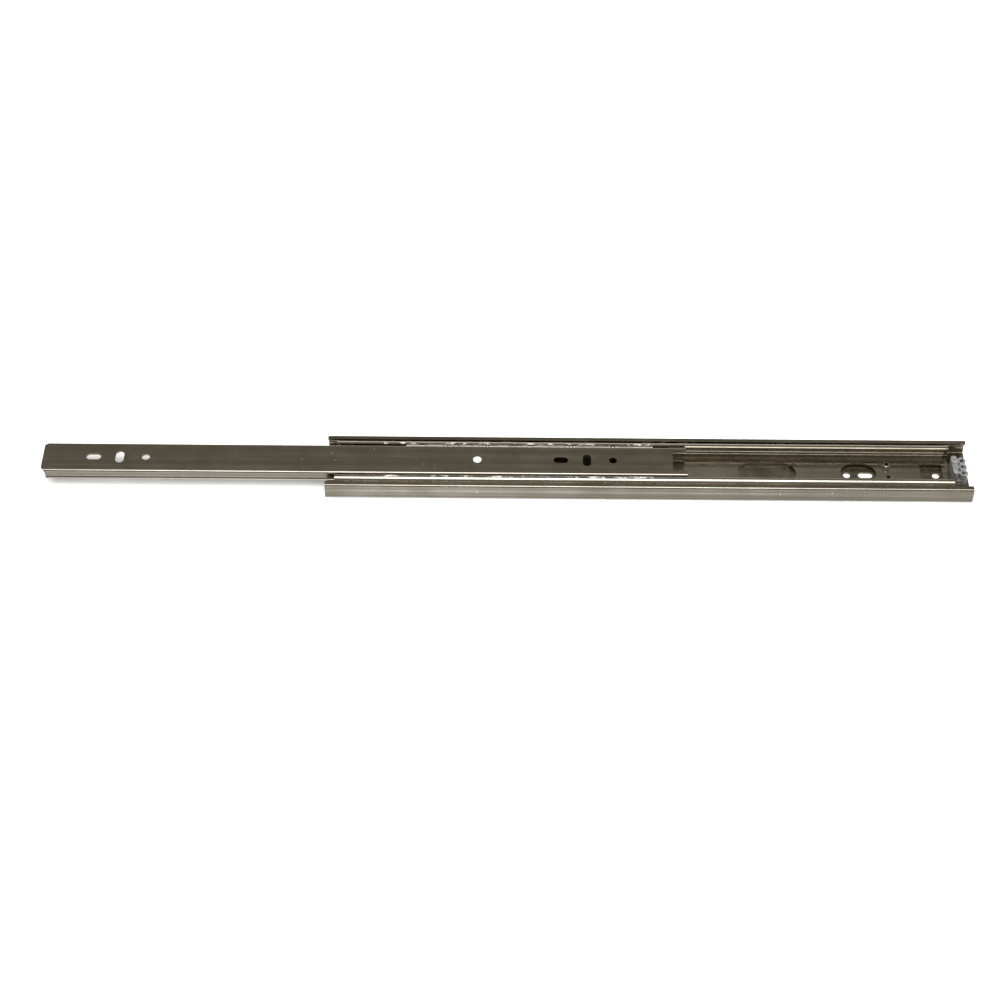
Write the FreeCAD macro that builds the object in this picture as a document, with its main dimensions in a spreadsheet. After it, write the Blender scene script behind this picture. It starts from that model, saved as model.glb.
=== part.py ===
import FreeCAD, Part
import math
import os

import Sketcher
from FreeCAD import Placement, Rotation, Vector

# Full-extension ball-bearing drawer slide, 45.7 mm wide, lying on its back.
# Frame: origin at the centre of the outer member's back face, +X to the rear, +Z out of the cabinet wall.
# Every member is built in its own frame, with X counted from its own front end, and placed by its sheet cell.

os.makedirs("parts", exist_ok=True)
doc = FreeCAD.newDocument("drawer_slide")
sheet = doc.addObject("Spreadsheet::Sheet", "dims")

DIMENSIONS = [
    # overall
    ("outer_length", 405.4),
    ("outer_width", 45.7),
    ("outer_height", 11.3),
    ("outer_sheet", 1.2),
    ("middle_front", 6.0),
    ("middle_rear_room", 11.7),
    ("middle_sheet", 1.3),
    ("inner_sheet", 1.2),
    ("inner_proud", 1.3),
    # how far the drawer member stands out in front of the cabinet member
    ("inner_extension", 178.4),
    # balls and raceways
    ("ball_diameter", 3.97),
    ("race_clearance", 0.06),
    ("outer_ball_drop", 5.3),
    ("inner_ball_drop", 2.25),
    ("outer_groove_angle", 27.0),
    ("middle_groove_angle", 22.0),
    ("groove_blend_radius", 1.4),
    # bends, all at the middle of the sheet
    ("foot_bend", 1.3),
    ("shoulder_bend", 0.9),
    ("inner_bend", 1.0),
    ("outer_lip_reach", 4.2),
    ("middle_lip_angle", 105.0),
    ("inner_flange_angle", 55.0),
    ("inner_flange_tip", 0.4),
    # ball cages
    ("cage_sheet", 0.4),
    ("cage_bend", 1.0),
    ("cage_gap", 0.1),
    ("pocket_clearance", 0.05),
    ("outer_cage_front", 91.9),
    ("outer_cage_length", 201.1),
    ("outer_cage_drop", 1.7),
    ("outer_ball_first", 14.9),
    ("outer_ball_pitch", 43.6),
    ("outer_notch", 1.5),
    ("inner_cage_front", 49.8),
    ("inner_cage_length", 156.4),
    ("inner_cage_lift", 0.3),
    ("inner_cage_lean_angle", 32.0),
    ("inner_cage_lean_rise", 0.1),
    ("inner_cage_lean_length", 1.45),
    ("inner_ball_first", 25.3),
    ("inner_ball_pitch", 26.45),
    ("inner_notch", 2.2),
    ("ball_count", 5),
    # screw holes: *_front from each member's own front end, *_back from its rear end
    ("screw_hole", 4.6),
    ("screw_slot_length", 9.2),
    ("outer_hole_front", 37.0),
    ("outer_slot_step", 11.8),
    ("outer_hole_back", 76.5),
    ("outer_rear_hole_back", 20.1),
    ("inner_slot_front", 32.1),
    ("inner_hole_step", 16.4),
    ("inner_slot_back", 79.3),
    ("inner_slot_width", 5.0),
    ("cross_slot_width", 5.3),
    ("cross_slot_length", 10.0),
    ("inner_round_hole", 5.0),
    # drawer member's ends
    ("notch_depth", 8.8),
    ("notch_half_width", 8.4),
    ("relief_depth", 2.5),
    ("corner_cut", 2.8),
    # windows, dimples and stops of the intermediate member, *_back from its rear end
    ("window_width", 16.8),
    ("front_window_start", 25.7),
    ("front_window_length", 22.4),
    ("long_window_back", 133.8),
    ("long_window_length", 36.7),
    ("rear_window_back", 68.8),
    ("rear_window_length", 22.4),
    ("square_window_back", 18.4),
    ("square_window_length", 14.0),
    ("square_window_corner", 1.0),
    ("dimple_back", 39.5),
    ("dimple_spacing", 11.4),
    ("dimple_diameter", 5.4),
    ("dimple_rise", 2.5),
    ("dimple_edge", 0.8),
    ("dimple_hole", 2.4),
    ("crimp_length", 2.6),
    ("crimp_depth", 1.1),
    ("crimp_low", 4.2),
    ("crimp_high", 8.0),
    ("stop_tab_place", 8.0),
    ("stop_tab_width", 5.0),
    ("stop_tab_middle", 4.0),
    ("stop_tab_rise", 5.9),
    # release lever
    ("lever_back", 131.9),
    ("lever_hole", 5.3),
    ("lever_fit", 0.05),
    ("lever_recess", 0.05),
    ("lever_sheet", 2.8),
    ("lever_gap", 0.2),
    ("lever_hub", 9.0),
    ("lever_arm_width", 5.0),
    ("lever_reach", 60.0),
    ("lever_nose_length", 7.0),
    ("lever_nose_width", 6.0),
    ("lever_nose_lift", 1.2),
    ("lever_tail_length", 24.0),
    ("lever_tail_width", 1.6),
    # rear bumper
    ("bumper_gap", 0.5),
    ("bumper_length", 9.6),
    ("bumper_width", 16.4),
    ("bumper_top", 11.6),
    ("bumper_base", 4.2),
    ("bumper_corner", 1.9),
    ("bumper_wall", 3.9),
    ("bumper_edge", 0.6),
    ("lobe_diameter", 5.5),
    ("lobe_hole", 2.6),
    ("lobe_hole_depth", 5.0),
    ("lobe_pitch", 5.4),
    ("lobe_count", 3),
    ("lobe_top", 9.6),
    ("lobe_spine", 2.0),
    ("lobe_spine_top", 8.4),
    ("peg_diameter", 4.4),
    ("peg_fit", 0.05),
]

for line, (alias, value) in enumerate(DIMENSIONS, start=1):
    sheet.set(f"A{line}", alias)
    sheet.set(f"B{line}", str(value))
    sheet.setAlias(f"B{line}", alias)
doc.recompute()


def size(alias):
    """A driving dimension, read from the sheet."""
    return float(sheet.get(alias))


INNER_TOP = "dims.outer_height + dims.inner_proud"
MIDDLE_LENGTH = "dims.outer_length - dims.middle_front - dims.middle_rear_room"
MIDDLE_UNDER = "dims.outer_sheet + dims.cage_sheet + 2 * dims.cage_gap"
OVERSHOOT = 1.0
TINY = 1e-4
LEFT, RIGHT = 1, -1

ball_radius = size("ball_diameter") / 2
race_radius = ball_radius + size("race_clearance")
middle_length = size("outer_length") - size("middle_front") - size("middle_rear_room")
inner_length = size("outer_length")


# ---- roll-formed sections -------------------------------------------------------------------------------

def line(length):
    return ("line", length, 0.0)


def bend(radius, degrees):
    """A bend at the middle of the sheet: left is positive, right is negative."""
    return ("bend", radius, degrees)


def walk(start, heading, steps):
    """Follow the middle of the sheet. Gives each step with the place and heading that it starts from."""
    y, z = start
    laid = []
    for kind, amount, degrees in steps:
        laid.append((kind, amount, degrees, y, z, heading))
        if kind == "line":
            y += amount * math.cos(heading)
            z += amount * math.sin(heading)
        else:
            side = LEFT if degrees > 0 else RIGHT
            centre_y = y - side * amount * math.sin(heading)
            centre_z = z + side * amount * math.cos(heading)
            heading += math.radians(degrees)
            y = centre_y + side * amount * math.sin(heading)
            z = centre_z - side * amount * math.cos(heading)
    return laid, (y, z), heading


def face_edge(step, side, thickness):
    """One step of the sheet's left or right face, as a line or an arc."""
    kind, amount, degrees, y, z, heading = step
    if kind == "line":
        off_y = -side * thickness / 2 * math.sin(heading)
        off_z = side * thickness / 2 * math.cos(heading)
        start = Vector(y + off_y, z + off_z, 0)
        return Part.LineSegment(start, start + Vector(math.cos(heading), math.sin(heading), 0) * amount)
    turn = LEFT if degrees > 0 else RIGHT
    centre = Vector(y - turn * amount * math.sin(heading), z + turn * amount * math.cos(heading), 0)
    radius = amount - turn * side * thickness / 2
    first = heading - turn * math.pi / 2
    last = first + math.radians(degrees)
    circle = Part.Circle(centre, Vector(0, 0, 1), radius)
    return Part.ArcOfCircle(circle, min(first, last), max(first, last))


def face_point(place, heading, side, thickness):
    y, z = place
    shift = side * thickness / 2
    return Vector(y - shift * math.sin(heading), z + shift * math.cos(heading), 0)


def channel_edges(web_level, half_steps, thickness):
    """The closed outline of a symmetric channel. half_steps run from its middle to one lip."""
    _, (end_y, end_z), end_heading = walk((0.0, web_level), 0.0, half_steps)
    start, start_heading = (-end_y, end_z), -end_heading
    steps = list(reversed(half_steps)) + list(half_steps)
    laid, end, heading = walk(start, start_heading, steps)
    edges = [face_edge(step, side, thickness) for side in (LEFT, RIGHT) for step in laid]
    for place, direction in ((start, start_heading), (end, heading)):
        corners = [face_point(place, direction, side, thickness) for side in (LEFT, RIGHT)]
        edges.append(Part.LineSegment(*corners))
    return edges


# ---- sketch and feature helpers -------------------------------------------------------------------------

def new_body(name, origin_x, origin_y="0", origin_z="0"):
    body = doc.addObject("PartDesign::Body", name)
    body.Label = name
    body.setExpression("Placement.Base.x", origin_x)
    body.setExpression("Placement.Base.y", origin_y)
    body.setExpression("Placement.Base.z", origin_z)
    return body


def new_sketch(body, plane, name, offset="0"):
    """A sketch on one of the body's own origin planes. offset is along the plane's normal."""
    support = next(item for item in body.Origin.OriginFeatures if item.Role == plane)
    sketch = body.newObject("Sketcher::SketchObject", name)
    sketch.AttachmentSupport = [(support, "")]
    sketch.MapMode = "FlatFace"
    sketch.setExpression("AttachmentOffset.Base.z", offset)
    return sketch


def pad(body, sketch, length, name):
    feature = body.newObject("PartDesign::Pad", name)
    feature.Profile = sketch
    feature.setExpression("Length", length)
    sketch.Visibility = False
    doc.recompute()
    return feature


def pocket_through(body, sketch, name):
    """Cut the sketch through everything, both ways, and make sure that it took something away."""
    before = body.Shape.Volume
    feature = body.newObject("PartDesign::Pocket", name)
    feature.Profile = sketch
    feature.Type = "ThroughAll"
    feature.Midplane = True
    doc.recompute()
    if not body.Shape.Volume < before:
        raise RuntimeError(name + " cuts nothing")
    return feature


def pocket(body, sketch, length, name, reverse=False):
    before = body.Shape.Volume
    feature = body.newObject("PartDesign::Pocket", name)
    feature.Profile = sketch
    feature.setExpression("Length", length)
    feature.Reversed = reverse
    doc.recompute()
    if not body.Shape.Volume < before:
        raise RuntimeError(name + " cuts nothing")
    return feature


def pocket_through_web(body, sketch, name, depth):
    """Holes in a web whose under face lies on the sketch's plane."""
    return pocket(body, sketch, depth, name, reverse=True)


def round_top(body, level, radius, name):
    """Fillet every edge that lies at one level of the body."""
    shape = body.Shape
    picked = []
    for index, edge in enumerate(shape.Edges, start=1):
        box = edge.BoundBox
        if abs(box.ZMin - level) < TINY and abs(box.ZMax - level) < TINY:
            picked.append(f"Edge{index}")
    if not picked:
        raise RuntimeError(name + " finds no edge")
    base = body.Tip
    feature = body.newObject("PartDesign::Fillet", name)
    feature.Base = (base, picked)
    feature.setExpression("Radius", radius)
    doc.recompute()
    return feature


def add_circle(sketch, x, y, diameter):
    """A circle whose diameter stays bound to its sheet cell."""
    index = sketch.addGeometry(Part.Circle(Vector(x, y, 0), Vector(0, 0, 1), size(diameter) / 2))
    constraint = sketch.addConstraint(Sketcher.Constraint("Diameter", index, size(diameter)))
    sketch.setExpression(f"Constraints[{constraint}]", "dims." + diameter)


def add_polygon(sketch, points):
    vectors = [Vector(x, y, 0) for x, y in points]
    for start, end in zip(vectors, vectors[1:] + vectors[:1]):
        sketch.addGeometry(Part.LineSegment(start, end))


def add_box(sketch, low_x, low_y, high_x, high_y):
    add_polygon(sketch, [(low_x, low_y), (high_x, low_y), (high_x, high_y), (low_x, high_y)])


def add_slot(sketch, x, y, length, width, along_x=True):
    """A slot with round ends, length measured over the ends."""
    radius = width / 2
    reach = length / 2 - radius
    base = 0.0 if along_x else math.pi / 2
    along = Vector(math.cos(base), math.sin(base), 0)
    across = Vector(-math.sin(base), math.cos(base), 0)
    centre = Vector(x, y, 0)
    for direction in (1, -1):
        circle = Part.Circle(centre + along * (reach * direction), Vector(0, 0, 1), radius)
        first = base + (-math.pi / 2 if direction > 0 else math.pi / 2)
        sketch.addGeometry(Part.ArcOfCircle(circle, first, first + math.pi))
        shift = across * (radius * direction)
        sketch.addGeometry(Part.LineSegment(centre + along * reach + shift, centre - along * reach + shift))


def add_rounded_box(sketch, low_x, low_y, high_x, high_y, radius):
    corners = [(high_x - radius, low_y + radius, -math.pi / 2), (high_x - radius, high_y - radius, 0.0),
               (low_x + radius, high_y - radius, math.pi / 2), (low_x + radius, low_y + radius, math.pi)]
    arcs = []
    for x, y, first in corners:
        circle = Part.Circle(Vector(x, y, 0), Vector(0, 0, 1), radius)
        arc = Part.ArcOfCircle(circle, first, first + math.pi / 2)
        arcs.append(arc)
        sketch.addGeometry(arc)
    for arc, following in zip(arcs, arcs[1:] + arcs[:1]):
        sketch.addGeometry(Part.LineSegment(arc.EndPoint, following.StartPoint))


# ---- where the rows of balls run ------------------------------------------------------------------------

inner_top = size("outer_height") + size("inner_proud")
outer_ball_level = size("outer_height") - size("outer_ball_drop")
outer_cage_top = size("outer_height") - size("outer_cage_drop")
inner_ball_level = size("outer_height") - size("inner_ball_drop")
outer_ball_y = size("outer_width") / 2 - size("outer_sheet") - race_radius
middle_groove_radius = race_radius + size("middle_sheet") / 2
middle_blend = size("groove_blend_radius") + middle_groove_radius
middle_groove_angle = math.radians(size("middle_groove_angle"))
middle_wall_y = (outer_ball_y - race_radius - size("middle_sheet") / 2
                 + middle_blend * (1 - math.cos(middle_groove_angle)))
inner_ball_y = middle_wall_y - middle_groove_radius
middle_web_under = size("outer_sheet") + size("cage_sheet") + 2 * size("cage_gap")
middle_web_top = middle_web_under + size("middle_sheet")
inner_web_under = inner_top - size("inner_sheet")


# ---- members --------------------------------------------------------------------------------------------

def outer_section():
    sheet_half = size("outer_sheet") / 2
    groove_radius = race_radius + sheet_half
    angle = math.radians(size("outer_groove_angle"))
    blend = size("groove_blend_radius") + groove_radius
    wall_y = size("outer_width") / 2 - sheet_half - blend * (1 - math.cos(angle))
    foot, shoulder = size("foot_bend"), size("shoulder_bend")
    groove_half = blend * math.sin(angle)
    shoulder_start = size("outer_height") - sheet_half - shoulder
    lip_edge = size("outer_width") / 2 - size("outer_lip_reach")
    return [
        line(wall_y - foot),
        bend(foot, 90),
        line(outer_ball_level - groove_half - sheet_half - foot),
        bend(size("groove_blend_radius"), -size("outer_groove_angle")),
        bend(groove_radius, 2 * size("outer_groove_angle")),
        bend(size("groove_blend_radius"), -size("outer_groove_angle")),
        line(shoulder_start - outer_ball_level - groove_half),
        bend(shoulder, 90),
        line(wall_y - shoulder - lip_edge),
    ]


def outer_member():
    body = new_body("outer_member", "-dims.outer_length / 2")
    section = new_sketch(body, "YZ_Plane", "outer_section")
    section.addGeometry(channel_edges(size("outer_sheet") / 2, outer_section(), size("outer_sheet")), False)
    pad(body, section, "dims.outer_length", "outer_channel")
    holes = new_sketch(body, "XY_Plane", "outer_holes")
    for hole_x in (size("outer_hole_front"), size("outer_length") - size("outer_hole_back")):
        add_circle(holes, hole_x, 0, "screw_hole")
        add_slot(holes, hole_x + size("outer_slot_step"), 0, size("screw_slot_length"), size("screw_hole"))
    add_circle(holes, size("outer_length") - size("outer_rear_hole_back"), 0, "screw_hole")
    add_circle(holes, bumper_front() + size("bumper_length") / 2, 0, "peg_diameter")
    pocket_through_web(body, holes, "outer_hole_cuts", "dims.outer_sheet")
    return body


def middle_section():
    sheet_half = size("middle_sheet") / 2
    web = middle_web_under + sheet_half
    foot = size("foot_bend")
    groove_half = middle_blend * math.sin(middle_groove_angle)
    return [
        line(middle_wall_y - foot),
        bend(foot, 90),
        line(outer_ball_level - groove_half - web - foot),
        bend(size("groove_blend_radius"), size("middle_groove_angle")),
        bend(middle_groove_radius, -2 * size("middle_groove_angle")),
        bend(size("groove_blend_radius"), size("middle_groove_angle")),
        line(inner_ball_level - outer_ball_level - groove_half),
        bend(middle_groove_radius, size("middle_lip_angle")),
    ]


def add_window(sketch, start, length):
    add_slot(sketch, start + length / 2, 0, length, size("window_width"))


def middle_windows(body):
    windows = new_sketch(body, "XY_Plane", "middle_windows", MIDDLE_UNDER)
    add_window(windows, size("front_window_start"), size("front_window_length"))
    for name in ("long", "rear"):
        add_window(windows, middle_length - size(name + "_window_back"), size(name + "_window_length"))
    half = size("window_width") / 2
    start = middle_length - size("square_window_back")
    add_rounded_box(windows, start, -half, start + size("square_window_length"), half,
                    size("square_window_corner"))
    pocket_through_web(body, windows, "middle_window_cuts", "dims.middle_sheet")


def middle_dimples(body):
    """Two pierced round collars pressed up out of the web, which stop the inner cage."""
    x = middle_length - size("dimple_back")
    rings = new_sketch(body, "XY_Plane", "dimple_rings", MIDDLE_UNDER + " + dims.middle_sheet / 2")
    for side in (1, -1):
        add_circle(rings, x, side * size("dimple_spacing") / 2, "dimple_diameter")
    pad(body, rings, "dims.middle_sheet / 2 + dims.dimple_rise", "dimple_caps")
    round_top(body, middle_web_top + size("dimple_rise"), "dims.dimple_edge", "dimple_edges")
    pierced = new_sketch(body, "XY_Plane", "dimple_holes", MIDDLE_UNDER)
    for side in (1, -1):
        add_circle(pierced, x, side * size("dimple_spacing") / 2, "dimple_hole")
    pocket(body, pierced, "dims.middle_sheet + dims.dimple_rise", "dimple_hole_cuts", reverse=True)


def middle_stop_tab(body):
    """The tab lanced up at the front end, which the release lever's nose meets at full extension."""
    foot = new_sketch(body, "XY_Plane", "stop_tab_foot", MIDDLE_UNDER + " + dims.middle_sheet / 2")
    half = size("stop_tab_width") / 2
    add_box(foot, size("stop_tab_place") - size("middle_sheet"), size("stop_tab_middle") - half,
            size("stop_tab_place"), size("stop_tab_middle") + half)
    pad(body, foot, "dims.middle_sheet / 2 + dims.stop_tab_rise", "stop_tab")


def middle_crimps(body):
    """Both ends of each flange are pinched in, to keep the inner cage in the channel."""
    wall = middle_wall_y - size("middle_sheet") / 2
    plan = new_sketch(body, "XY_Plane", "crimp_plan", "dims.crimp_low")
    for end, inward in ((0.0, 1), (middle_length, -1)):
        for side in (1, -1):
            root = side * (wall + size("middle_sheet") / 2)
            tip = side * (wall - size("crimp_depth"))
            add_polygon(plan, [(end, root), (end, tip), (end + inward * size("crimp_length") / 2, tip),
                               (end + inward * size("crimp_length"), root)])
    pad(body, plan, "dims.crimp_high - dims.crimp_low", "crimps")


def intermediate_member():
    body = new_body("intermediate_member", "dims.middle_front - dims.outer_length / 2")
    section = new_sketch(body, "YZ_Plane", "middle_section")
    web = middle_web_under + size("middle_sheet") / 2
    section.addGeometry(channel_edges(web, middle_section(), size("middle_sheet")), False)
    pad(body, section, MIDDLE_LENGTH, "middle_channel")
    middle_windows(body)
    middle_dimples(body)
    middle_stop_tab(body)
    middle_crimps(body)
    return body


def inner_section():
    sheet_half = size("inner_sheet") / 2
    groove_radius = race_radius + sheet_half
    bend_radius = size("inner_bend")
    return [
        line(inner_ball_y - groove_radius - bend_radius),
        bend(bend_radius, -90),
        line(inner_top - sheet_half - bend_radius - inner_ball_level),
        bend(groove_radius, size("inner_flange_angle")),
        line(size("inner_flange_tip")),
    ]


def inner_end_cuts(body):
    """The rear notch that straddles the bumper, the cut corners, and the flanges cut back at the front."""
    edge = inner_ball_y - race_radius
    plan = new_sketch(body, "XY_Plane", "inner_end_plan")
    half = size("notch_half_width")
    add_box(plan, inner_length - size("notch_depth"), -half, inner_length + OVERSHOOT, half)
    cut = size("corner_cut")
    outside = edge + OVERSHOOT
    for side in (1, -1):
        add_polygon(plan, [(-OVERSHOOT, side * (edge - cut - OVERSHOOT)), (-OVERSHOOT, side * outside),
                           (cut + OVERSHOOT, side * outside)])
    pocket_through(body, plan, "inner_end_cuts")
    relief = new_sketch(body, "XZ_Plane", "flange_relief")
    under = inner_web_under - size("inner_bend")
    add_box(relief, -OVERSHOOT, -OVERSHOOT, size("relief_depth"), under)
    pocket_through(body, relief, "flange_relief_cut")


def inner_member():
    body = new_body("inner_member", "-dims.outer_length / 2 - dims.inner_extension")
    section = new_sketch(body, "YZ_Plane", "inner_section")
    web = inner_top - size("inner_sheet") / 2
    section.addGeometry(channel_edges(web, inner_section(), size("inner_sheet")), False)
    pad(body, section, "dims.outer_length", "inner_channel")
    holes = new_sketch(body, "XY_Plane", "inner_holes", INNER_TOP + " - dims.inner_sheet")
    for first in (size("inner_slot_front"), inner_length - size("inner_slot_back")):
        add_slot(holes, first, 0, size("screw_slot_length"), size("inner_slot_width"))
        add_slot(holes, first + size("inner_hole_step"), 0,
                 size("cross_slot_length"), size("cross_slot_width"), along_x=False)
        add_circle(holes, first + 2 * size("inner_hole_step"), 0, "inner_round_hole")
    add_circle(holes, inner_length - size("lever_back"), 0, "lever_hole")
    pocket_through_web(body, holes, "inner_hole_cuts", "dims.inner_sheet")
    inner_end_cuts(body)
    return body


# ---- ball cages and balls -------------------------------------------------------------------------------

def cage_pockets(body, name, level, top, first, pitch, notch):
    """Round ball pockets in both flanges, each open at the top through a narrow notch."""
    sketch = new_sketch(body, "XZ_Plane", name)
    radius = ball_radius + size("pocket_clearance")
    opening = math.asin(notch / 2 / radius)
    for index in range(int(size("ball_count"))):
        x = first + index * pitch
        circle = Part.Circle(Vector(x, level, 0), Vector(0, 0, 1), radius)
        arc = Part.ArcOfCircle(circle, math.pi / 2 + opening, 2.5 * math.pi - opening)
        sketch.addGeometry(arc)
        corners = [arc.EndPoint, Vector(x + notch / 2, top, 0), Vector(x - notch / 2, top, 0), arc.StartPoint]
        for start, end in zip(corners, corners[1:]):
            sketch.addGeometry(Part.LineSegment(start, end))
    pocket_through(body, sketch, name + "_cuts")


def outer_ball_cage():
    body = new_body("outer_ball_cage", "dims.outer_cage_front - dims.outer_length / 2")
    thickness, radius = size("cage_sheet"), size("cage_bend")
    web = size("outer_sheet") + size("cage_gap") + thickness / 2
    steps = [
        line(outer_ball_y - radius),
        bend(radius, 90),
        line(outer_cage_top - web - radius),
    ]
    section = new_sketch(body, "YZ_Plane", "outer_cage_section")
    section.addGeometry(channel_edges(web, steps, thickness), False)
    pad(body, section, "dims.outer_cage_length", "outer_cage_strip")
    cage_pockets(body, "outer_pockets", outer_ball_level, outer_cage_top + OVERSHOOT,
                 size("outer_ball_first"), size("outer_ball_pitch"), size("outer_notch"))
    return body


def inner_ball_cage():
    body = new_body("inner_ball_cage", "dims.inner_cage_front - dims.outer_length / 2")
    thickness, radius = size("cage_sheet"), size("cage_bend")
    web = middle_web_top + size("inner_cage_lift") + thickness / 2
    steps = [
        line(inner_ball_y - radius),
        bend(radius, 90),
        line(inner_ball_level + size("inner_cage_lean_rise") - web - radius),
        bend(radius, size("inner_cage_lean_angle")),
        line(size("inner_cage_lean_length")),
    ]
    section = new_sketch(body, "YZ_Plane", "inner_cage_section")
    section.addGeometry(channel_edges(web, steps, thickness), False)
    pad(body, section, "dims.inner_cage_length", "inner_cage_strip")
    cage_pockets(body, "inner_pockets", inner_ball_level, inner_top + OVERSHOOT,
                 size("inner_ball_first"), size("inner_ball_pitch"), size("inner_notch"))
    return body


def balls(row, row_y, side):
    made = []
    for index in range(int(size("ball_count"))):
        name = f"{row}_ball_{side}_{index + 1}"
        ball = doc.addObject("Part::Sphere", name)
        ball.Label = name
        ball.setExpression("Radius", "dims.ball_diameter / 2")
        place = Vector(0, row_y if side == "back" else -row_y, 0)
        ball.Placement = Placement(place, Rotation())
        ball.setExpression("Placement.Base.x", f"dims.{row}_cage_front + dims.{row}_ball_first"
                           f" + {index} * dims.{row}_ball_pitch - dims.outer_length / 2")
        ball.setExpression("Placement.Base.z", f"dims.outer_height - dims.{row}_ball_drop")
        made.append(ball)
    return made


# ---- release lever --------------------------------------------------------------------------------------

def release_lever():
    """Its stem turns in the drawer member's web, and its nose meets the intermediate member's stop tab."""
    body = new_body("release_lever", "dims.outer_length / 2 - dims.lever_back - dims.inner_extension")
    under = INNER_TOP + " - dims.inner_sheet - dims.lever_gap - dims.lever_sheet"
    arm_half = size("lever_arm_width") / 2
    nose_half = size("lever_nose_width") / 2
    tail_half = size("lever_tail_width") / 2
    middle = size("stop_tab_middle")
    reach = size("lever_reach")
    hub = size("lever_hub") / 2

    arm = new_sketch(body, "XY_Plane", "lever_arm_plan", under)
    add_polygon(arm, [(-reach, middle - nose_half), (-reach + size("lever_nose_length"), middle - nose_half),
                      (0, -arm_half), (0, arm_half),
                      (-reach + size("lever_nose_length"), middle + nose_half), (-reach, middle + nose_half)])
    pad(body, arm, "dims.lever_sheet", "lever_arm")
    disc = new_sketch(body, "XY_Plane", "lever_hub_plan", under)
    add_circle(disc, 0, 0, "lever_hub")
    pad(body, disc, "dims.lever_sheet", "lever_hub_disc")
    tail = new_sketch(body, "XY_Plane", "lever_tail_plan", under)
    add_polygon(tail, [(hub / 2, -arm_half), (hub / 2, arm_half),
                       (size("lever_tail_length"), tail_half), (size("lever_tail_length"), -tail_half)])
    pad(body, tail, "dims.lever_sheet / 2", "lever_tail")
    nose = new_sketch(body, "XY_Plane", "lever_nose_plan",
                      MIDDLE_UNDER + " + dims.middle_sheet + dims.lever_nose_lift")
    add_box(nose, -reach, middle - nose_half, -reach + size("lever_nose_length"), middle + nose_half)
    pad(body, nose, under + " + dims.lever_sheet / 2 - (" + MIDDLE_UNDER
        + " + dims.middle_sheet + dims.lever_nose_lift)", "lever_nose")
    stem = new_sketch(body, "XY_Plane", "lever_stem_plan", under)
    add_stem(stem)
    pad(body, stem, "dims.lever_sheet + dims.lever_gap + dims.inner_sheet - dims.lever_recess", "lever_stem")
    return body


def add_stem(sketch):
    radius = size("lever_hole") / 2 - size("lever_fit")
    sketch.addGeometry(Part.Circle(Vector(0, 0, 0), Vector(0, 0, 1), radius))


# ---- rear bumper ----------------------------------------------------------------------------------------

def bumper_front():
    """Distance of the bumper's front face from the outer member's front end."""
    return size("middle_front") + middle_length + size("bumper_gap")


def lobe_places():
    """Centres of the lobes along the rear of the bumper."""
    x = size("bumper_length") - size("lobe_diameter") / 2
    middle = (size("lobe_count") - 1) / 2
    return [(x, (index - middle) * size("lobe_pitch")) for index in range(int(size("lobe_count")))]


def rear_bumper():
    """A moulded block with a solid front wall, a slit behind it, and a row of hollow lobes at the rear."""
    body = new_body("rear_bumper", "dims.outer_length / 2 - dims.middle_rear_room + dims.bumper_gap",
                    origin_z="dims.outer_sheet")
    half = size("bumper_width") / 2
    base = new_sketch(body, "XY_Plane", "bumper_base_plan")
    add_rounded_box(base, 0, -half, size("bumper_length"), half, size("bumper_corner"))
    pad(body, base, "dims.bumper_base", "bumper_base")
    round_top(body, size("outer_sheet") + size("bumper_base"), "dims.bumper_edge", "bumper_base_edge")
    wall = new_sketch(body, "XY_Plane", "bumper_wall_plan")
    add_rounded_box(wall, 0, -half, size("bumper_wall"), half, size("bumper_corner"))
    pad(body, wall, "dims.bumper_top - dims.outer_sheet", "bumper_front_wall")
    round_top(body, size("bumper_top"), "dims.bumper_edge", "bumper_wall_edge")
    lobes = new_sketch(body, "XY_Plane", "bumper_lobe_plan")
    for x, y in lobe_places():
        add_circle(lobes, x, y, "lobe_diameter")
    pad(body, lobes, "dims.lobe_top - dims.outer_sheet", "bumper_lobes")
    spine = new_sketch(body, "XY_Plane", "bumper_spine_plan")
    ends = [place[1] for place in lobe_places()]
    spine_x = lobe_places()[0][0]
    add_box(spine, spine_x - size("lobe_spine") / 2, ends[0], spine_x + size("lobe_spine") / 2, ends[-1])
    pad(body, spine, "dims.lobe_spine_top - dims.outer_sheet", "bumper_spine")
    bores = new_sketch(body, "XY_Plane", "bumper_lobe_holes", "dims.lobe_top - dims.outer_sheet")
    for x, y in lobe_places():
        add_circle(bores, x, y, "lobe_hole")
    pocket(body, bores, "dims.lobe_hole_depth", "bumper_lobe_bores")
    peg = new_sketch(body, "XY_Plane", "bumper_peg_plan", "-dims.outer_sheet")
    centre = Vector(size("bumper_length") / 2, 0, 0)
    radius = size("peg_diameter") / 2 - size("peg_fit")
    peg.addGeometry(Part.Circle(centre, Vector(0, 0, 1), radius))
    pad(body, peg, "dims.outer_sheet", "bumper_peg")
    return body


# ---- build, check, write --------------------------------------------------------------------------------

pieces = [outer_member(), intermediate_member(), inner_member(), outer_ball_cage(), inner_ball_cage(),
          release_lever(), rear_bumper()]
for side in ("front", "back"):
    pieces += balls("outer", outer_ball_y, side)
    pieces += balls("inner", inner_ball_y, side)
doc.recompute()

for item in doc.Objects:
    if "Invalid" in item.State or "Error" in item.State:
        raise RuntimeError(f"{item.Label} is {item.State}")
for piece in pieces:
    shape = piece.Shape
    if shape.isNull() or not shape.isValid() or len(shape.Solids) != 1:
        raise RuntimeError(f"{piece.Label} is not one valid solid")
    shape.exportStep(f"parts/{piece.Label}.step")
    print(f"{piece.Label}: {shape.Volume:.1f} mm3")
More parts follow.
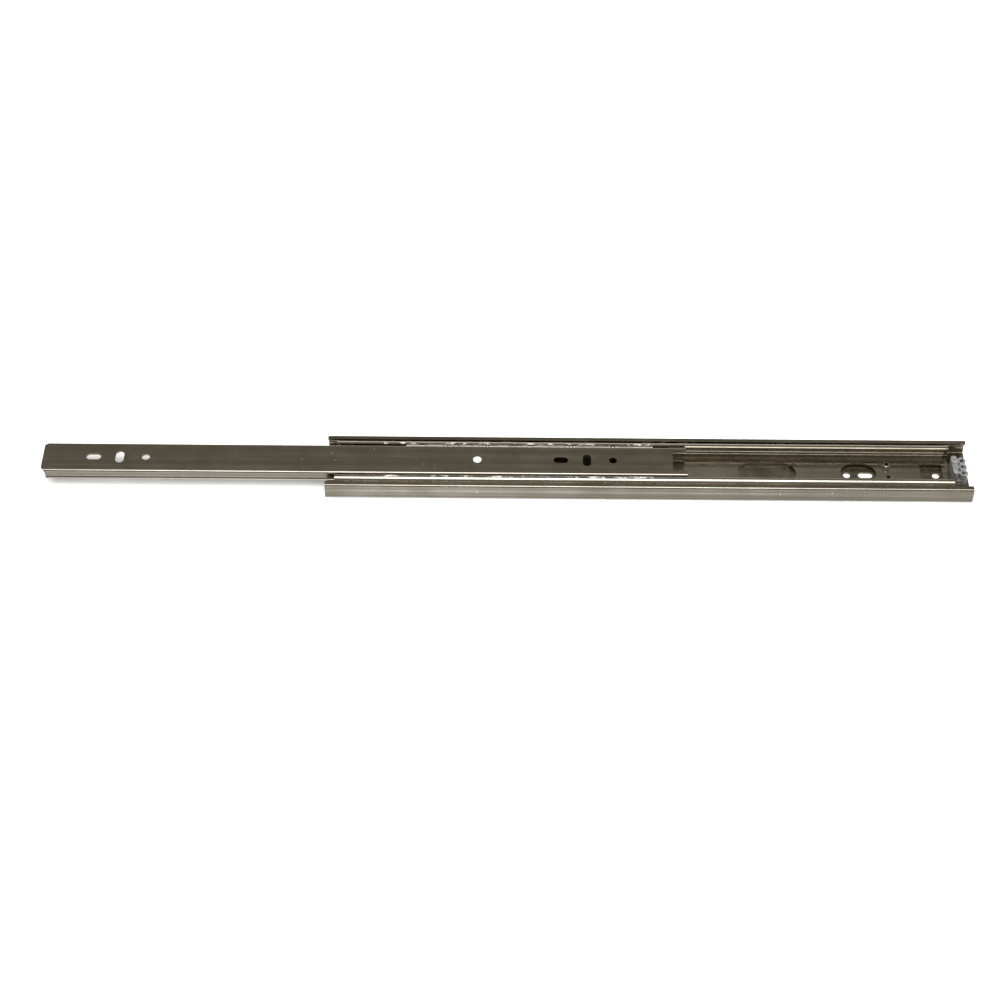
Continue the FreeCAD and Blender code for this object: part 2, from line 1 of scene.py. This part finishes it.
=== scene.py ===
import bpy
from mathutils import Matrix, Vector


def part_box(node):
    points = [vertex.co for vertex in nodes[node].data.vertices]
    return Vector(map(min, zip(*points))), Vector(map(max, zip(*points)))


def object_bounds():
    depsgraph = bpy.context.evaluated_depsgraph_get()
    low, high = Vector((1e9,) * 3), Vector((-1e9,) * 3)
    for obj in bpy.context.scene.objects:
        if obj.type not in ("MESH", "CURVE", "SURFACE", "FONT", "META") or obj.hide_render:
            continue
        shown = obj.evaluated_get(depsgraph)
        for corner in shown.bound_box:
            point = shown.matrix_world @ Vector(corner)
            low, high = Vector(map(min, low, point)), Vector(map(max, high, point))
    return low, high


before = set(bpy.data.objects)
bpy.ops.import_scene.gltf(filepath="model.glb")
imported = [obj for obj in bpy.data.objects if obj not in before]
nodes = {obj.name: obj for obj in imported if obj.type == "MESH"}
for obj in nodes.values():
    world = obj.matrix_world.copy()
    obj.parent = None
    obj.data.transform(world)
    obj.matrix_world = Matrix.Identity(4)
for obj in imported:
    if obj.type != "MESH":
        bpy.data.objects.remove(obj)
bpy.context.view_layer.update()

import math

import bpy
from mathutils import Matrix, Vector

scene = bpy.context.scene
MM = 0.001
MIX_COLOURS = (6, 7)           # a Mix node's two colour inputs, in RGBA mode
MIX_RESULT = 2                 # and its colour output
EVEN = (1.0, 1.0, 1.0)         # a pattern that is stretched along no axis


# ---- node helpers -----------------------------------------------------------------------------------------

class Surface:
    """A Principled material with the small set of node steps that every finish here is made from."""

    def __init__(self, name, metallic, roughness, specular=0.5):
        self.material = bpy.data.materials.new(name)
        self.material.use_nodes = True
        self.tree = self.material.node_tree
        self.shader = self.tree.nodes["Principled BSDF"]
        self.shader.inputs["Metallic"].default_value = metallic
        self.shader.inputs["Roughness"].default_value = roughness
        self.shader.inputs["Specular IOR Level"].default_value = specular
        self.coords = self.tree.nodes.new("ShaderNodeTexCoord").outputs["Object"]

    def link(self, output, socket):
        self.tree.links.new(output, socket)

    def stretched(self, scale):
        """Object coordinates scaled per axis, so that a pattern can run along the slide."""
        mapping = self.tree.nodes.new("ShaderNodeMapping")
        mapping.inputs["Scale"].default_value = scale
        self.link(self.coords, mapping.inputs["Vector"])
        return mapping.outputs["Vector"]

    def noise(self, scale, detail=4.0, rough=0.55, stretch=EVEN):
        """Cloudy noise, from about 0.3 to 0.7. scale is in waves a metre."""
        node = self.tree.nodes.new("ShaderNodeTexNoise")
        node.inputs["Scale"].default_value = scale
        node.inputs["Detail"].default_value = detail
        node.inputs["Roughness"].default_value = rough
        self.link(self.stretched(stretch), node.inputs["Vector"])
        return node.outputs["Fac"]

    def cells(self, scale):
        """Distance from the nearest of many scattered points. scale is in points a metre."""
        node = self.tree.nodes.new("ShaderNodeTexVoronoi")
        node.inputs["Scale"].default_value = scale
        self.link(self.stretched(EVEN), node.inputs["Vector"])
        return node.outputs["Distance"]

    def remap(self, value, low, high, to_low=0.0, to_high=1.0):
        """Spread low to high over to_low to to_high, and hold it there beyond both ends."""
        node = self.tree.nodes.new("ShaderNodeMapRange")
        node.inputs["From Min"].default_value = low
        node.inputs["From Max"].default_value = high
        node.inputs["To Min"].default_value = to_low
        node.inputs["To Max"].default_value = to_high
        self.link(value, node.inputs["Value"])
        return node.outputs["Result"]

    def times(self, first, second):
        node = self.tree.nodes.new("ShaderNodeMath")
        node.operation = "MULTIPLY"
        self.link(first, node.inputs[0])
        self.link(second, node.inputs[1])
        return node.outputs[0]

    def mix(self, factor, first, second):
        """Blend two colours. Each is a plain colour or another node's output."""
        node = self.tree.nodes.new("ShaderNodeMix")
        node.data_type = "RGBA"
        self.link(factor, node.inputs["Factor"])
        for value, index in zip((first, second), MIX_COLOURS):
            if isinstance(value, tuple):
                node.inputs[index].default_value = (*value, 1.0)
            else:
                self.link(value, node.inputs[index])
        return node.outputs[MIX_RESULT]

    def bump(self, height, strength, distance, after=None):
        """A normal that follows height, on top of the normal in after."""
        node = self.tree.nodes.new("ShaderNodeBump")
        node.inputs["Strength"].default_value = strength
        node.inputs["Distance"].default_value = distance
        self.link(height, node.inputs["Height"])
        if after is not None:
            self.link(after, node.inputs["Normal"])
        return node.outputs["Normal"]

    def set(self, socket, output):
        self.link(output, self.shader.inputs[socket])


# ---- materials --------------------------------------------------------------------------------------------

ROLLED = (0.02, 1.0, 1.0)      # rolling marks run along the slide
REFLECTION_BANDED = (0.006, 0.5, 1.0)     # so do the painted reflection bands, darker bands that stand in for the bands the formed wall mirrors
HAZED = (0.5, 1.0, 1.0)        # and the dull patches are longer than wide
SMEARED = (0.45, 1.0, 1.0)     # as the smears of grease and painted highlight are
SPECK = (0.95, 0.93, 0.88)
# broken white smear: partly real grease, partly a painted highlight along the edge it lies on
GREASE_AND_HIGHLIGHT_COLOUR = (0.60, 0.595, 0.565)
GREASE_AND_HIGHLIGHT_EDGE = 0.1 * MM         # over which a smear fades out at the ends of its range
GREASE_AND_HIGHLIGHT_BREAK = 0.04            # and at its broken edges, as a step of the noise
LIP_GREASE_AND_HIGHLIGHT_WAVES = 300.0
LIP_GREASE_AND_HIGHLIGHT_LEVEL = 0.53        # a higher level leaves less grease and painted highlight
CAGE_GREASE_AND_HIGHLIGHT_WAVES = 340.0
CAGE_ROUGHNESS = 0.24


def grease_and_highlight_mask(steel, low, high, level, waves):
    """Where the grease and painted highlight lie: between two corners in X and Z, broken up along the slide.
    """
    place = steel.tree.nodes.new("ShaderNodeSeparateXYZ")
    steel.link(steel.coords, place.inputs["Vector"])
    ragged = steel.noise(waves, detail=5.0, rough=0.7, stretch=SMEARED)
    mask = steel.remap(ragged, level, level + GREASE_AND_HIGHLIGHT_BREAK)
    for axis in ("X", "Z"):
        first, last = getattr(low, axis.lower()), getattr(high, axis.lower())
        inside = steel.remap(place.outputs[axis], first - GREASE_AND_HIGHLIGHT_EDGE, first + GREASE_AND_HIGHLIGHT_EDGE)
        mask = steel.times(mask, inside)
        inside = steel.remap(place.outputs[axis], last - GREASE_AND_HIGHLIGHT_EDGE, last + GREASE_AND_HIGHLIGHT_EDGE, 1.0, 0.0)
        mask = steel.times(mask, inside)
    return mask


def rolled_zinc(name, tone, shade, tint, gloss, grease_and_highlight_span=None):
    """Clear-plated rolled steel: cloudy tone, painted reflection bands, fine rolling lines, dull patches and
    a few bright specks.

    The last argument is the lowest and highest corner of the edge that carries broken white grease, painted
    also as a highlight along that edge.
    """
    steel = Surface(name, metallic=1.0, roughness=gloss)
    clouds = steel.remap(steel.noise(38.0, detail=5.0), 0.35, 0.68)
    colour = steel.mix(clouds, shade, tone)
    # painted reflection: darker bands along the slide, standing in for the light and dark bands that the
    # formed wall mirrors
    painted_reflection_bands = steel.remap(steel.noise(420.0, detail=2.0, stretch=REFLECTION_BANDED), 0.40, 0.60, 0.0, 0.75)
    colour = steel.mix(painted_reflection_bands, colour, tint)
    haze = steel.remap(steel.noise(11.0, detail=3.0, stretch=HAZED), 0.45, 0.75, 0.0, 0.6)
    colour = steel.mix(haze, colour, tint)
    streaks = steel.noise(2600.0, detail=3.0, stretch=ROLLED)
    colour = steel.mix(steel.remap(streaks, 0.52, 0.78, 0.0, 0.35), colour, tone)
    specks = steel.remap(steel.cells(130.0), 0.05, 0.08, 1.0, 0.0)
    kept = steel.remap(steel.noise(60.0, detail=2.0), 0.50, 0.56)
    colour = steel.mix(steel.times(specks, kept), colour, SPECK)
    if grease_and_highlight_span is not None:
        # painted highlight: broken white along the lip's top, partly grease, partly standing in for the
        # bright top edge of the inner cage that the lip hides
        grease_and_highlight = grease_and_highlight_mask(steel, *grease_and_highlight_span, LIP_GREASE_AND_HIGHLIGHT_LEVEL, LIP_GREASE_AND_HIGHLIGHT_WAVES)
        colour = steel.mix(grease_and_highlight, colour, GREASE_AND_HIGHLIGHT_COLOUR)
        steel.set("Metallic", steel.remap(grease_and_highlight, 0.0, 1.0, 1.0, 0.0))
    steel.set("Base Color", colour)
    patches = steel.noise(70.0, detail=6.0)
    steel.set("Roughness", steel.remap(patches, 0.3, 0.7, gloss - 0.07, gloss + 0.10))
    lines = steel.bump(streaks, 0.10, 0.05 * MM)
    steel.set("Normal", steel.bump(steel.noise(900.0, detail=4.0), 0.05, 0.04 * MM, after=lines))
    return steel.material


def cage_strip(node, grease_and_highlight_height, level):
    """Thin plated strip steel, pressed, with white grease caught along its upper edges, painted also as the
    highlight those edges catch.
    """
    low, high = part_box(node)
    grease_and_highlight_low = Vector((low.x, low.y, high.z - grease_and_highlight_height))
    grease_and_highlight_high = high + Vector((0.0, 0.0, MM))
    strip = Surface(node + "_steel", metallic=1.0, roughness=CAGE_ROUGHNESS)
    oil = strip.remap(strip.noise(120.0, detail=4.0), 0.4, 0.65)
    colour = strip.mix(oil, (0.44, 0.42, 0.35), (0.28, 0.26, 0.205))
    wear = strip.remap(strip.noise(1500.0, detail=2.0, stretch=ROLLED), 0.5, 0.75, 0.0, 0.5)
    colour = strip.mix(wear, colour, (0.56, 0.54, 0.48))
    # painted highlight: broken white band along the top edges, partly grease, partly a painted highlight of
    # those edges
    grease_and_highlight = grease_and_highlight_mask(strip, grease_and_highlight_low, grease_and_highlight_high, level, CAGE_GREASE_AND_HIGHLIGHT_WAVES)
    strip.set("Base Color", strip.mix(grease_and_highlight, colour, GREASE_AND_HIGHLIGHT_COLOUR))
    strip.set("Metallic", strip.remap(grease_and_highlight, 0.0, 1.0, 1.0, 0.0))
    strip.set("Roughness", strip.remap(grease_and_highlight, 0.0, 1.0, CAGE_ROUGHNESS, 0.45))
    lumps = strip.times(grease_and_highlight, strip.noise(900.0, detail=3.0))
    strip.set("Normal", strip.bump(lumps, 0.5, 0.2 * MM))
    return strip.material


def ball_steel():
    """Hardened balls with a thin smear of grease."""
    ball = Surface("hardened_ball_steel", metallic=1.0, roughness=0.1)
    smear = ball.remap(ball.noise(900.0, detail=3.0), 0.45, 0.62)
    ball.set("Base Color", ball.mix(smear, (0.80, 0.80, 0.79), (0.60, 0.57, 0.48)))
    ball.set("Roughness", ball.remap(smear, 0.0, 1.0, 0.06, 0.28))
    return ball.material


def bumper_plastic():
    """Grey moulded bumper, mottled where dust and grease have marked it."""
    plastic = Surface("moulded_bumper_grey", metallic=0.0, roughness=0.5)
    mottle = plastic.remap(plastic.noise(620.0, detail=5.0, rough=0.65), 0.38, 0.64)
    colour = plastic.mix(mottle, (0.05, 0.05, 0.048), (0.26, 0.257, 0.248))
    dust = plastic.remap(plastic.noise(2200.0, detail=3.0), 0.60, 0.72, 0.0, 0.6)
    plastic.set("Base Color", plastic.mix(dust, colour, (0.50, 0.495, 0.48)))
    plastic.set("Roughness", plastic.remap(mottle, 0.0, 1.0, 0.38, 0.62))
    plastic.set("Normal", plastic.bump(plastic.noise(1800.0, detail=4.0), 0.35, 0.08 * MM))
    return plastic.material


def lever_plastic():
    """Natural acetal: near white, slightly waxy, with a fine moulded grain."""
    acetal = Surface("natural_acetal", metallic=0.0, roughness=0.36)
    tone = acetal.remap(acetal.noise(300.0, detail=3.0), 0.4, 0.65)
    acetal.set("Base Color", acetal.mix(tone, (0.88, 0.87, 0.82), (0.78, 0.77, 0.72)))
    acetal.set("Roughness", acetal.remap(tone, 0.0, 1.0, 0.30, 0.44))
    acetal.set("Normal", acetal.bump(acetal.noise(2500.0, detail=2.0), 0.15, 0.03 * MM))
    return acetal.material


def give(material, *names):
    """Put one material on every slot of the named pieces."""
    for name in names:
        holder = nodes[name]
        if not holder.material_slots:
            holder.data.materials.append(material)
        for slot in holder.material_slots:
            slot.link = "OBJECT"
            slot.material = material


# Each member's plating: its tone, its shade between the clouds, its dull tint and its roughness.
OUTER_ZINC = ((0.56, 0.525, 0.465), (0.40, 0.37, 0.31), (0.26, 0.235, 0.185), 0.20)
MIDDLE_ZINC = ((0.70, 0.665, 0.61), (0.52, 0.49, 0.43), (0.40, 0.37, 0.31), 0.16)
INNER_ZINC = ((0.53, 0.495, 0.445), (0.42, 0.388, 0.338), (0.36, 0.325, 0.27), 0.18)
LIP_GREASE_AND_HIGHLIGHT_AHEAD = 14.0 * MM   # the lip's grease and painted highlight run from here in front of the inner cage, to its rear end
LIP_GREASE_AND_HIGHLIGHT_DEPTH = 0.08 * MM   # and from here below the lip's top
CAGE_GREASE_AND_HIGHLIGHT = {                # how far down each cage's grease and painted highlight reach, and their level
    "outer_ball_cage": (2.0 * MM, 0.53),
    "inner_ball_cage": (1.3 * MM, 0.44),
}


def grease_and_highlight_lip():
    """The lowest and highest corner of the grease and painted highlight on the intermediate member, beside
    the inner cage.
    """
    cage_front, cage_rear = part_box("inner_ball_cage")
    lip_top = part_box("intermediate_member")[1].z
    return (Vector((cage_front.x - LIP_GREASE_AND_HIGHLIGHT_AHEAD, 0.0, lip_top - LIP_GREASE_AND_HIGHLIGHT_DEPTH)),
            Vector((cage_rear.x, 0.0, lip_top + MM)))


def finish_nodes():
    give(rolled_zinc("zinc_outer", *OUTER_ZINC), "outer_member")
    give(rolled_zinc("zinc_middle", *MIDDLE_ZINC, grease_and_highlight_span=grease_and_highlight_lip()), "intermediate_member")
    give(rolled_zinc("zinc_inner", *INNER_ZINC), "inner_member")
    for cage, (grease_and_highlight_height, level) in CAGE_GREASE_AND_HIGHLIGHT.items():
        give(cage_strip(cage, grease_and_highlight_height, level), cage)
    balls = [name for name in nodes if "_ball_" in name and not name.endswith("cage")]
    give(ball_steel(), *balls)
    give(bumper_plastic(), "rear_bumper")
    give(lever_plastic(), "release_lever")


# ---- studio -----------------------------------------------------------------------------------------------

LENS_MM = 78.4
CAMERA_ELEVATION = math.radians(46.5)
CAMERA_ROLL = math.radians(0.46)
CAMERA_DISTANCE = 1.38
AIM_BEHIND_FRONT = 0.1096      # the picture's middle, measured back from the cabinet member's front end
AIM_BELOW_AXIS = 0.0167        # and below the slide's back face, in the picture's plane


def add_camera():
    """A long lens that looks down on the slide from its side."""
    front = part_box("outer_member")[0].x
    up = Vector((0.0, math.sin(CAMERA_ELEVATION), math.cos(CAMERA_ELEVATION)))
    forward = Vector((0.0, math.cos(CAMERA_ELEVATION), -math.sin(CAMERA_ELEVATION)))
    aim = Vector((front + AIM_BEHIND_FRONT, 0.0, 0.0)) - up * AIM_BELOW_AXIS
    data = bpy.data.cameras.new("camera")
    data.lens = LENS_MM
    camera = bpy.data.objects.new("camera", data)
    scene.collection.objects.link(camera)
    turn = forward.to_track_quat("-Z", "Y").to_matrix().to_4x4() @ Matrix.Rotation(CAMERA_ROLL, 4, "Z")
    camera.matrix_world = Matrix.Translation(aim - forward * CAMERA_DISTANCE) @ turn
    scene.camera = camera


FLOOR_SIZE = 14.0
FLOOR_GAP = 0.05 * MM
FLOOR_GLOW = 0.22              # the sweep is lit from below as well, which takes the shadows off it


def add_floor():
    """The white sweep under the slide. Polished metal mirrors the sky instead of it."""
    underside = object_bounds()[0][2]
    bpy.ops.mesh.primitive_plane_add(size=FLOOR_SIZE, location=(0.0, 0.0, underside - FLOOR_GAP))
    floor = bpy.context.object
    floor.name = "floor"
    paper = Surface("white_paper", metallic=0.0, roughness=0.9, specular=0.1)
    paper.shader.inputs["Emission Color"].default_value = (1.0, 1.0, 1.0, 1.0)
    paper.shader.inputs["Emission Strength"].default_value = FLOOR_GLOW
    fibre = paper.remap(paper.noise(30.0, detail=3.0), 0.4, 0.6)
    paper.set("Base Color", paper.mix(fibre, (0.90, 0.90, 0.90), (0.885, 0.885, 0.885)))
    floor.data.materials.append(paper.material)
    floor.visible_glossy = False


SOFTBOX_PLACE = Vector((0.0, -0.2, 2.4))
SOFTBOX_SIDE = 4.0
SOFTBOX_POWER = 150.0


def add_softbox():
    """An overhead area light aimed at the slide. Polished metal does not mirror it."""
    data = bpy.data.lights.new("overhead", "AREA")
    data.shape = "RECTANGLE"
    data.size = data.size_y = SOFTBOX_SIDE
    data.energy = SOFTBOX_POWER
    lamp = bpy.data.objects.new("overhead", data)
    scene.collection.objects.link(lamp)
    aim = (-SOFTBOX_PLACE).to_track_quat("-Z", "Y").to_matrix().to_4x4()
    lamp.matrix_world = Matrix.Translation(SOFTBOX_PLACE) @ aim
    lamp.visible_glossy = False


SKY_LEAN = 0.18                # the white sweep stands behind the slide, so the bright part leans that way
LIT = (1.0, 0.985, 0.95)       # the lamp and the white sweep are almost neutral
ROOM = (1.0, 0.94, 0.76)       # the dim room over the slide is warm
SKY = (                        # height of the direction (its sine, leaned), how bright it is there, its cast
    (-0.40, 0.72, LIT),
    (0.02, 0.95, LIT),
    (0.13, 1.20, LIT),
    (0.26, 0.42, LIT),
    (0.40, 0.20, ROOM),
    (0.90, 0.20, ROOM),
    (0.965, 0.55, LIT),
    (0.992, 4.20, LIT),
)


def add_sky():
    """A white sweep up to a low horizon, a dim room above it, and a lamp straight overhead."""
    world = bpy.data.worlds.new("studio")
    scene.world = world
    world.use_nodes = True
    tree = world.node_tree
    background = tree.nodes["Background"]
    coords = tree.nodes.new("ShaderNodeTexCoord")
    height = tree.nodes.new("ShaderNodeVectorMath")
    height.operation = "DOT_PRODUCT"
    height.inputs[1].default_value = (0.0, -SKY_LEAN, 1.0)
    ramp = tree.nodes.new("ShaderNodeValToRGB")
    spread = tree.nodes.new("ShaderNodeMapRange")
    spread.inputs["From Min"].default_value = -1.0
    tree.links.new(coords.outputs["Generated"], height.inputs[0])
    tree.links.new(height.outputs["Value"], spread.inputs["Value"])
    tree.links.new(spread.outputs["Result"], ramp.inputs["Fac"])
    tree.links.new(ramp.outputs["Color"], background.inputs["Color"])
    stops = ramp.color_ramp.elements
    stops.remove(stops[0])
    for index, (rise, level, cast) in enumerate(SKY):
        position = (rise + 1) / 2
        stop = stops[0] if index == 0 else stops.new(position)
        stop.position = position
        stop.color = (*[level * channel for channel in cast], 1.0)


def build_studio():
    add_camera()
    add_floor()
    add_sky()
    add_softbox()
    scene.view_settings.view_transform = "Standard"


build_studio()
finish_nodes()
